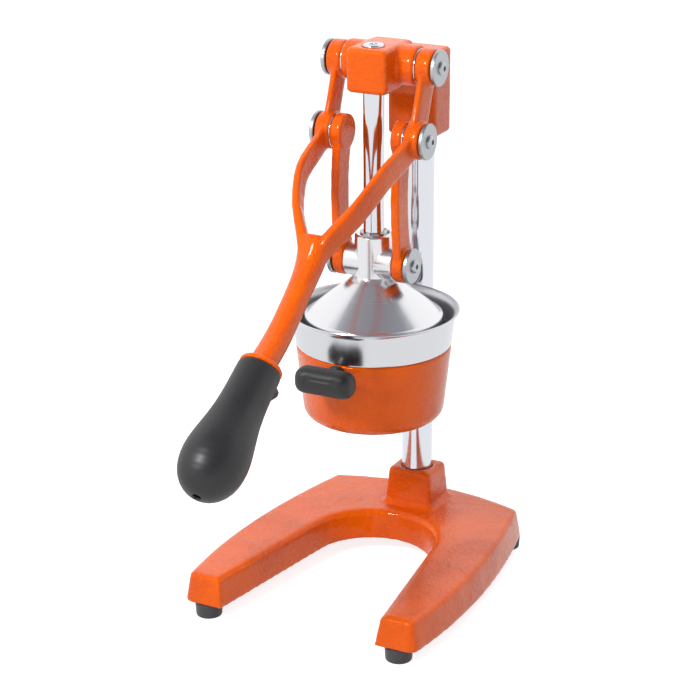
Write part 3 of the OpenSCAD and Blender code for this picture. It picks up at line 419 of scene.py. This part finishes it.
def satin_stainless(tree, look):
    """The same sheet inside, left satin by the spinning: it scatters light evenly."""
    grain = add(
        tree, "ShaderNodeTexNoise",
        {"Vector": place_on_object(tree), "Scale": 1 / (1.2 * MM), "Detail": 3.0},
    )
    rough = add(
        tree, "ShaderNodeMapRange", {"Value": grain.outputs[0], "To Min": 0.34, "To Max": 0.5}
    )
    return add(
        tree, "ShaderNodeBsdfPrincipled",
        {"Base Color": rgba(look.stainless), "Metallic": 1.0, "Roughness": rough.outputs[0]},
    )


def turned_aluminium(tree, look):
    """Cast aluminium, turned and polished: bright, with fine rings round the ram's axis that
    blur what it mirrors."""
    rings = stretched(tree, 71.43 * MM, look.tool_mark)
    turned = add(tree, "ShaderNodeTexNoise", {"Vector": rings, "Scale": 1.0, "Detail": 5.0})
    rough = add(
        tree, "ShaderNodeMapRange", {"Value": turned.outputs[0], "To Min": 0.16, "To Max": 0.32}
    )
    normal = add(
        tree, "ShaderNodeBump",
        {"Strength": 0.25, "Distance": 0.03 * MM, "Height": turned.outputs[0]},
    )
    return add(
        tree, "ShaderNodeBsdfPrincipled",
        {
            "Base Color": rgba(look.alloy), "Metallic": 1.0, "Roughness": rough.outputs[0],
            "Normal": normal.outputs[0],
        },
    )


def moulded_nylon(tree, look):
    """Black nylon, injection moulded in a spark-eroded mould: satin, with a fine even grain and
    a little polish where hands rub it."""
    place = place_on_object(tree)
    grain = add(
        tree, "ShaderNodeTexNoise", {"Vector": place, "Scale": 1 / look.moulding, "Detail": 2.0}
    )
    worn = add(
        tree, "ShaderNodeTexNoise", {"Vector": place, "Scale": 1 / (24 * MM), "Detail": 2.0}
    )
    rough = add(
        tree, "ShaderNodeMapRange",
        {
            "Value": worn.outputs[0], "From Min": 0.3, "From Max": 0.7, "To Min": 0.4,
            "To Max": 0.52,
        },
    )
    normal = add(
        tree, "ShaderNodeBump",
        {"Strength": 0.3, "Distance": 0.06 * MM, "Height": grain.outputs[0]},
    )
    return add(
        tree, "ShaderNodeBsdfPrincipled",
        {
            "Base Color": rgba(look.nylon), "Roughness": rough.outputs[0], "IOR": 1.53,
            "Normal": normal.outputs[0],
        },
    )


def moulded_rubber(tree, look):
    """Grey-black rubber, press moulded: dull, with a soft bloom."""
    bloom = add(
        tree, "ShaderNodeTexNoise",
        {"Vector": place_on_object(tree), "Scale": 1 / (6 * MM), "Detail": 4.0},
    )
    rough = add(
        tree, "ShaderNodeMapRange", {"Value": bloom.outputs[0], "To Min": 0.6, "To Max": 0.85}
    )
    return add(
        tree, "ShaderNodeBsdfPrincipled",
        {
            "Base Color": rgba(look.rubber), "Roughness": rough.outputs[0], "IOR": 1.5,
            "Sheen Weight": 0.25, "Sheen Roughness": 0.5,
        },
    )


# --------------------------------------------------------------------------------- pieces


def joined_corners(node):
    """The node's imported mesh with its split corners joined, as a closed bmesh in metres."""
    shape = bmesh.new()
    shape.from_mesh(NODES[node].data)
    bmesh.ops.remove_doubles(shape, verts=shape.verts, dist=WELD)
    return shape


def stand_for(node, shape, surfaces):
    """Object named for its node, made from a bmesh, that takes the node's place and body."""
    name = "".join(word.capitalize() for word in node.split("_"))
    mesh = bpy.data.meshes.new(name)
    shape.to_mesh(mesh)
    shape.free()
    for surface in surfaces:
        mesh.materials.append(finish(surface))
    piece = bpy.data.objects.new(name, mesh)
    bpy.context.scene.collection.objects.link(piece)
    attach(piece, BODY_OF[node])
    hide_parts(node)
    return piece


def machined(node, slot, *surfaces, edge=None):
    """Piece with turned or drilled faces: true surfaces, with every sharp edge just broken."""
    shape = joined_corners(node)
    bmesh.ops.dissolve_limit(shape, angle_limit=FLAT, verts=shape.verts, edges=shape.edges)
    sharp = [
        e for e in shape.edges if len(e.link_faces) == 2 and e.calc_face_angle() > BROKEN_EDGE
    ]
    if sharp:
        width = bpy.context.scene.press_shape.edge if edge is None else edge
        bmesh.ops.bevel(
            shape, geom=sharp, offset=width, offset_type="OFFSET", segments=2, profile=0.5,
            affect="EDGES", clamp_overlap=True,
        )
    for face in shape.faces:
        face.smooth = True
    piece = stand_for(node, shape, surfaces)
    piece.data.set_sharp_from_angle(angle=SHARP_EDGE)
    piece.modifiers.new("Even normals", "WEIGHTED_NORMAL").keep_sharp = True
    return piece


def evaluated(piece):
    """Replaces a piece's mesh by what its modifiers make of it, and drops them."""
    graph = bpy.context.evaluated_depsgraph_get()
    mesh = bpy.data.meshes.new_from_object(piece.evaluated_get(graph))
    mesh.name = piece.data.name
    piece.modifiers.clear()
    piece.data = mesh


def push(piece, amount):
    """Moves each point of a piece along its normal by amount(place), in metres."""
    mesh = piece.data
    moved = [v.co + v.normal * amount(v.co) for v in mesh.vertices]
    for vertex, place in zip(mesh.vertices, moved):
        vertex.co = place
    mesh.update()


def held(value):
    """Value held between 0 and 1."""
    return min(1, max(0, value))


def fading(away, reach):
    """1 at a place and fading to 0 round it, within about twice the reach."""
    return math.exp(-((away.length / reach) ** 2))


def cast(node, surface, grain, rounds, wave=None):
    """Piece that came out of a mould: soft edges and faces that wander a little from true.
    Its edges are as soft as rounds of smoothing make them, on a mesh of this grain."""
    piece = stand_for(node, joined_corners(node), [surface])
    skin = piece.modifiers.new("Skin", "REMESH")
    skin.mode, skin.voxel_size, skin.use_smooth_shade = "VOXEL", grain, True
    soften = piece.modifiers.new("Soften", "SMOOTH")
    soften.factor, soften.iterations = 0.5, rounds
    evaluated(piece)
    depth = bpy.context.scene.press_shape.wave if wave is None else wave
    if depth:
        push(
            piece,
            lambda at: depth * (noise.noise(at / LONG_WAVE) + noise.noise(at / SHORT_WAVE) / 2),
        )
    return piece


class PressStep:
    """Shared by the operators."""

    bl_options = {"REGISTER", "UNDO"}


class PRESS_OT_base(PressStep, bpy.types.Operator):
    """Horseshoe base, cast in sand, with soft edges under its powder coat"""

    bl_idname = "press.base"
    bl_label = "Base"

    def execute(self, context):
        shape = context.scene.press_shape
        cast("base", powder_coated_iron, shape.base_grain, rounds=7)
        return {"FINISHED"}


class PRESS_OT_head(PressStep, bpy.types.Operator):
    """Head casting that clamps the column, guides the ram and carries the top pivots"""

    bl_idname = "press.head"
    bl_label = "Head"

    def execute(self, context):
        shape = context.scene.press_shape
        cast("head", powder_coated_iron, shape.head_grain, rounds=6)
        return {"FINISHED"}


class PRESS_OT_bowl_holder(PressStep, bpy.types.Operator):
    """Cast holder that clamps the column and carries the steel bowl"""

    bl_idname = "press.bowl_holder"
    bl_label = "Bowl Holder"

    def execute(self, context):
        shape = context.scene.press_shape
        cast("bowl_holder", powder_coated_iron, shape.head_grain, rounds=5)
        return {"FINISHED"}


class PRESS_OT_fork(PressStep, bpy.types.Operator):
    """Fork lever with its two cranks, and the two push links that hang from them"""

    bl_idname = "press.fork"
    bl_label = "Fork Lever and Links"

    def execute(self, context):
        shape = context.scene.press_shape
        for node in ("lever", "link_left", "link_right"):
            cast(node, powder_coated_iron, shape.fork_grain, rounds=6)
        return {"FINISHED"}


class PRESS_OT_bars(PressStep, bpy.types.Operator):
    """Column and ram rod, both ground and chromed"""

    bl_idname = "press.bars"
    bl_label = "Column and Ram Rod"

    def execute(self, context):
        for node in ("column", "ram_rod"):
            machined(node, "chrome", hard_chromed_bar, edge=0.6 * MM)
        return {"FINISHED"}


class PRESS_OT_press_cup(PressStep, bpy.types.Operator):
    """Press cup: a turned and polished cone with its hub and cross boss"""

    bl_idname = "press.press_cup"
    bl_label = "Press Cup"

    def execute(self, context):
        machined("press_cup", "polished_alloy", turned_aluminium, edge=0.5 * MM)
        return {"FINISHED"}


class PRESS_OT_reamer(PressStep, bpy.types.Operator):
    """Ribbed cone that the fruit is pressed on"""

    bl_idname = "press.reamer"
    bl_label = "Reamer"

    def execute(self, context):
        shape = context.scene.press_shape
        cast("reamer", turned_aluminium, shape.fork_grain, rounds=3, wave=0)
        return {"FINISHED"}


class PRESS_OT_bowl(PressStep, bpy.types.Operator):
    """Steel juice bowl, its spout and the strainer plate on its ledge"""

    bl_idname = "press.bowl"
    bl_label = "Juice Bowl"

    def execute(self, context):
        bowl = machined(
            "juice_bowl", "stainless", polished_stainless, satin_stainless, edge=0.4 * MM
        )
        # Faces that look towards the bowl's axis, or up, are its satin inside
        for face in bowl.data.polygons:
            outwards = Vector((face.center.x, face.center.y, 0))
            inside = face.normal.dot(outwards) < -INWARDS * outwards.length
            if inside or face.normal.z > UPWARDS:
                face.material_index = 1
        machined("juice_spout", "stainless", polished_stainless, edge=0.2 * MM)
        machined("strainer", "stainless", satin_stainless, edge=0.15 * MM)
        return {"FINISHED"}


class PRESS_OT_grip(PressStep, bpy.types.Operator):
    """Moulded grip on the lever, with its finger guard"""

    bl_idname = "press.grip"
    bl_label = "Grip"

    def execute(self, context):
        shape = context.scene.press_shape
        grip = cast(
            "grip", moulded_nylon, shape.grip_grain, rounds=8, wave=PLASTIC_WAVE
        )
        guard, reach = Vector(shape.guard_place), 9 * MM
        push(grip, lambda at: shape.guard_swell * fading(at - guard, reach))
        return {"FINISHED"}


class PRESS_OT_front_handle(PressStep, bpy.types.Operator):
    """Moulded handle on the front of the bowl holder, with a finger groove"""

    bl_idname = "press.front_handle"
    bl_label = "Front Handle"

    def execute(self, context):
        shape = context.scene.press_shape
        handle = cast(
            "front_handle", moulded_nylon, shape.grip_grain, rounds=36,
            wave=PLASTIC_WAVE,
        )
        low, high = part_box("front_handle")
        middle = (low + high) / 2
        # Half the groove's length, its height over the handle's middle, and how far it and the
        # dent at each of its ends reach up and down
        half, rise, groove_reach, dent_reach = 10.5 * MM, 3.9 * MM, 1.0 * MM, 3 * MM
        # It fades out over the last stretch to its ends, and where the handle turns to its back
        end_fade, front_depth, front_fade = 2 * MM, 10 * MM, 5 * MM
        ends = [Vector((middle.x + side * half, low.y, middle.z + rise)) for side in (-1, 1)]

        def groove(at):
            inside = held((half - abs(at.x - middle.x)) / end_fade)
            front = held((low.y + front_depth - at.y) / front_fade)
            line = inside * front * math.exp(-(((at.z - ends[0].z) / groove_reach) ** 2))
            dents = sum(fading(at - end, dent_reach) for end in ends)
            return -shape.groove * max(line, dents)

        push(handle, groove)
        return {"FINISHED"}


class PRESS_OT_pivots(PressStep, bpy.types.Operator):
    """Pins, washers, cap discs and cap screws of the three pairs of pivots"""

    bl_idname = "press.pivots"
    bl_label = "Pivots"

    def execute(self, context):
        for place in ("top", "mid", "low"):
            machined(place + "_pivot_pins", "steel", bright_steel)
            machined(place + "_pivot_caps", "zinc", turned_zinc, edge=0.5 * MM)
            machined(place + "_pivot_screws", "steel", bright_steel, edge=0.15 * MM)
        for place in ("top", "mid"):
            machined(place + "_pivot_washers", "chrome", hard_chromed_bar, edge=0.3 * MM)
        return {"FINISHED"}


class PRESS_OT_feet(PressStep, bpy.types.Operator):
    """Four rubber feet and the screws that hold them"""

    bl_idname = "press.feet"
    bl_label = "Feet"

    def execute(self, context):
        machined("rubber_feet", "rubber", moulded_rubber, edge=1.2 * MM)
        machined("foot_screws", "dark_steel", black_oxide_steel, edge=0.15 * MM)
        return {"FINISHED"}


class PRESS_OT_fasteners(PressStep, bpy.types.Operator):
    """Screws, bolt and washer that clamp the bars and hold the grips, and the rod's clip"""

    bl_idname = "press.fasteners"
    bl_label = "Fasteners"

    def execute(self, context):
        for node in ("column_bolt", "column_washer", "head_set_screws", "holder_set_screws"):
            machined(node, "dark_steel", black_oxide_steel, edge=0.2 * MM)
        for node in ("front_handle_screw", "grip_screw"):
            machined(node, "zinc", turned_zinc, edge=0.15 * MM)
        machined("rod_clip", "steel", bright_steel, edge=0.15 * MM)
        return {"FINISHED"}


# --------------------------------------------------------------------------------- studio


def white_room(world, fill):
    """Pale room with a grey ceiling panel over the camera's side. It lights the press by fill,
    is a little brighter where metal mirrors it, and plain white behind the press."""
    world.use_nodes = True
    tree = world.node_tree
    tree.nodes.clear()
    direction = add(tree, "ShaderNodeTexCoord").outputs["Generated"]
    towards = add(
        tree, "ShaderNodeVectorMath", {0: direction, 1: CEILING_PANEL}, operation="DOT_PRODUCT"
    )
    dark_side = add(
        tree, "ShaderNodeMapRange",
        {
            "Value": towards.outputs["Value"], "From Min": PANEL_EDGE[0],
            "From Max": PANEL_EDGE[1],
        },
        interpolation_type="SMOOTHSTEP",
    )
    mirrored = add(
        tree, "ShaderNodeMix",
        {0: dark_side.outputs[0], 6: rgba("#FFFFFF"), 7: rgba("#8A8C92")}, data_type="RGBA",
    )
    ray = add(tree, "ShaderNodeLightPath")
    lit = add(tree, "ShaderNodeBackground", {"Color": rgba("#FBFCFF"), "Strength": fill})
    mirror = add(tree, "ShaderNodeBackground", {"Color": mirrored.outputs[2], "Strength": 1.2})
    seen = add(tree, "ShaderNodeBackground", {"Color": rgba("#FFFFFF"), "Strength": 1.0})
    either = add(
        tree, "ShaderNodeMixShader",
        {0: ray.outputs["Is Glossy Ray"], 1: lit.outputs[0], 2: mirror.outputs[0]},
    )
    room = add(
        tree, "ShaderNodeMixShader",
        {0: ray.outputs["Is Camera Ray"], 1: either.outputs[0], 2: seen.outputs[0]},
    )
    add(tree, "ShaderNodeOutputWorld", {"Surface": room.outputs[0]})


def pale_floor(tree, look):
    """Matt white sweep, lit until it is paper white in the picture, with a faint shadow. Metal
    mirrors it as bright, and what it throws back on the press is dimmer."""
    ray = add(tree, "ShaderNodeLightPath")
    matt = add(tree, "ShaderNodeBsdfDiffuse", {"Color": rgba("#C8C8CA")})
    glow = add(tree, "ShaderNodeEmission", {"Strength": 0.8})
    lit = add(tree, "ShaderNodeAddShader", {0: matt.outputs[0], 1: glow.outputs[0]})
    dim = add(tree, "ShaderNodeBsdfDiffuse", {"Color": rgba("#BDBBB8")})
    mirror = add(tree, "ShaderNodeEmission", {"Strength": 1.1})
    bounce = add(
        tree, "ShaderNodeMixShader",
        {0: ray.outputs["Is Glossy Ray"], 1: dim.outputs[0], 2: mirror.outputs[0]},
    )
    return add(
        tree, "ShaderNodeMixShader",
        {0: ray.outputs["Is Camera Ray"], 1: bounce.outputs[0], 2: lit.outputs[0]},
    )


def soft_box(name, target, box, power):
    """Square area light that faces target, with its place from there and its side in box."""
    away, side = box
    light = bpy.data.lights.new(name, "AREA")
    light.energy, light.size = power, side
    lamp = bpy.data.objects.new(name, light)
    lamp.location = target + away
    lamp.rotation_euler = (-away).to_track_quat("-Z", "Y").to_euler()
    bpy.context.scene.collection.objects.link(lamp)
    return lamp


class PRESS_OT_studio(PressStep, bpy.types.Operator):
    """Pale floor, white room, three soft boxes and the camera at the photograph's viewpoint"""

    bl_idname = "press.studio"
    bl_label = "Studio"

    def execute(self, context):
        studio = context.scene.press_studio
        scene = context.scene
        world = bpy.data.worlds.new("White room")
        scene.world = world
        white_room(world, studio.fill)

        mesh = bpy.data.meshes.new("Floor")
        half = studio.floor_size / 2
        mesh.from_pydata(
            [(x * half, y * half, 0) for x, y in ((-1, -1), (1, -1), (1, 1), (-1, 1))], [],
            [(0, 1, 2, 3)],
        )
        mesh.materials.append(finish(pale_floor))
        floor = bpy.data.objects.new("Floor", mesh)
        scene.collection.objects.link(floor)

        low, high = (Vector(corner) for corner in CAD_BOX)
        middle = (low + high) / 2
        soft_box("Key", middle, KEY_BOX, studio.key_power)
        front = soft_box("Front", middle, FRONT_BOX, studio.front_power)
        top = soft_box("Top", middle, TOP_BOX, studio.top_power)
        # Metal mirrors the key light alone
        front.visible_glossy = top.visible_glossy = False

        data = bpy.data.cameras.new("Camera")
        data.lens, data.sensor_width, data.clip_end = studio.lens, SENSOR_WIDTH, SIGHT
        camera = bpy.data.objects.new("Camera", data)
        axes = Matrix((CAMERA_RIGHT, CAMERA_UP, CAMERA_BACK)).transposed()
        camera.matrix_world = Matrix.Translation(studio.camera_place) @ axes.to_4x4()
        scene.collection.objects.link(camera)
        scene.camera = camera
        scene.view_settings.view_transform = "Standard"
        return {"FINISHED"}


class PRESS_PT_panel(bpy.types.Panel):
    """Lists the press's pieces, their settings and the studio"""

    bl_idname = "PRESS_PT_panel"
    bl_label = "Lever Citrus Press"
    bl_space_type = "VIEW_3D"
    bl_region_type = "UI"
    bl_category = "Press"

    def draw(self, context):
        for operator in OPERATORS:
            self.layout.operator(operator.bl_idname)
        for group in GROUPS:
            settings = getattr(context.scene, group)
            box = self.layout.box()
            for name in settings.bl_rna.properties.keys():
                if name not in {"rna_type", "name"}:
                    box.prop(settings, name)


GROUPS = {
    "press_shape": PressShapeSettings,
    "press_finish": PressFinishSettings,
    "press_studio": PressStudioSettings,
}
OPERATORS = (
    PRESS_OT_base, PRESS_OT_head, PRESS_OT_bowl_holder, PRESS_OT_fork, PRESS_OT_bars,
    PRESS_OT_press_cup, PRESS_OT_reamer, PRESS_OT_bowl, PRESS_OT_grip, PRESS_OT_front_handle,
    PRESS_OT_pivots, PRESS_OT_feet, PRESS_OT_fasteners, PRESS_OT_studio,
)
CLASSES = (*GROUPS.values(), *OPERATORS, PRESS_PT_panel)


def register():
    for item in CLASSES:
        bpy.utils.register_class(item)
    for name, group in GROUPS.items():
        setattr(bpy.types.Scene, name, PointerProperty(type=group))


def unregister():
    for name in GROUPS:
        delattr(bpy.types.Scene, name)
    for item in reversed(CLASSES):
        bpy.utils.unregister_class(item)


def main():
    register()
    for operator in OPERATORS:
        getattr(bpy.ops.press, operator.bl_idname.split(".")[1])()


if __name__ == "__main__":
    main()
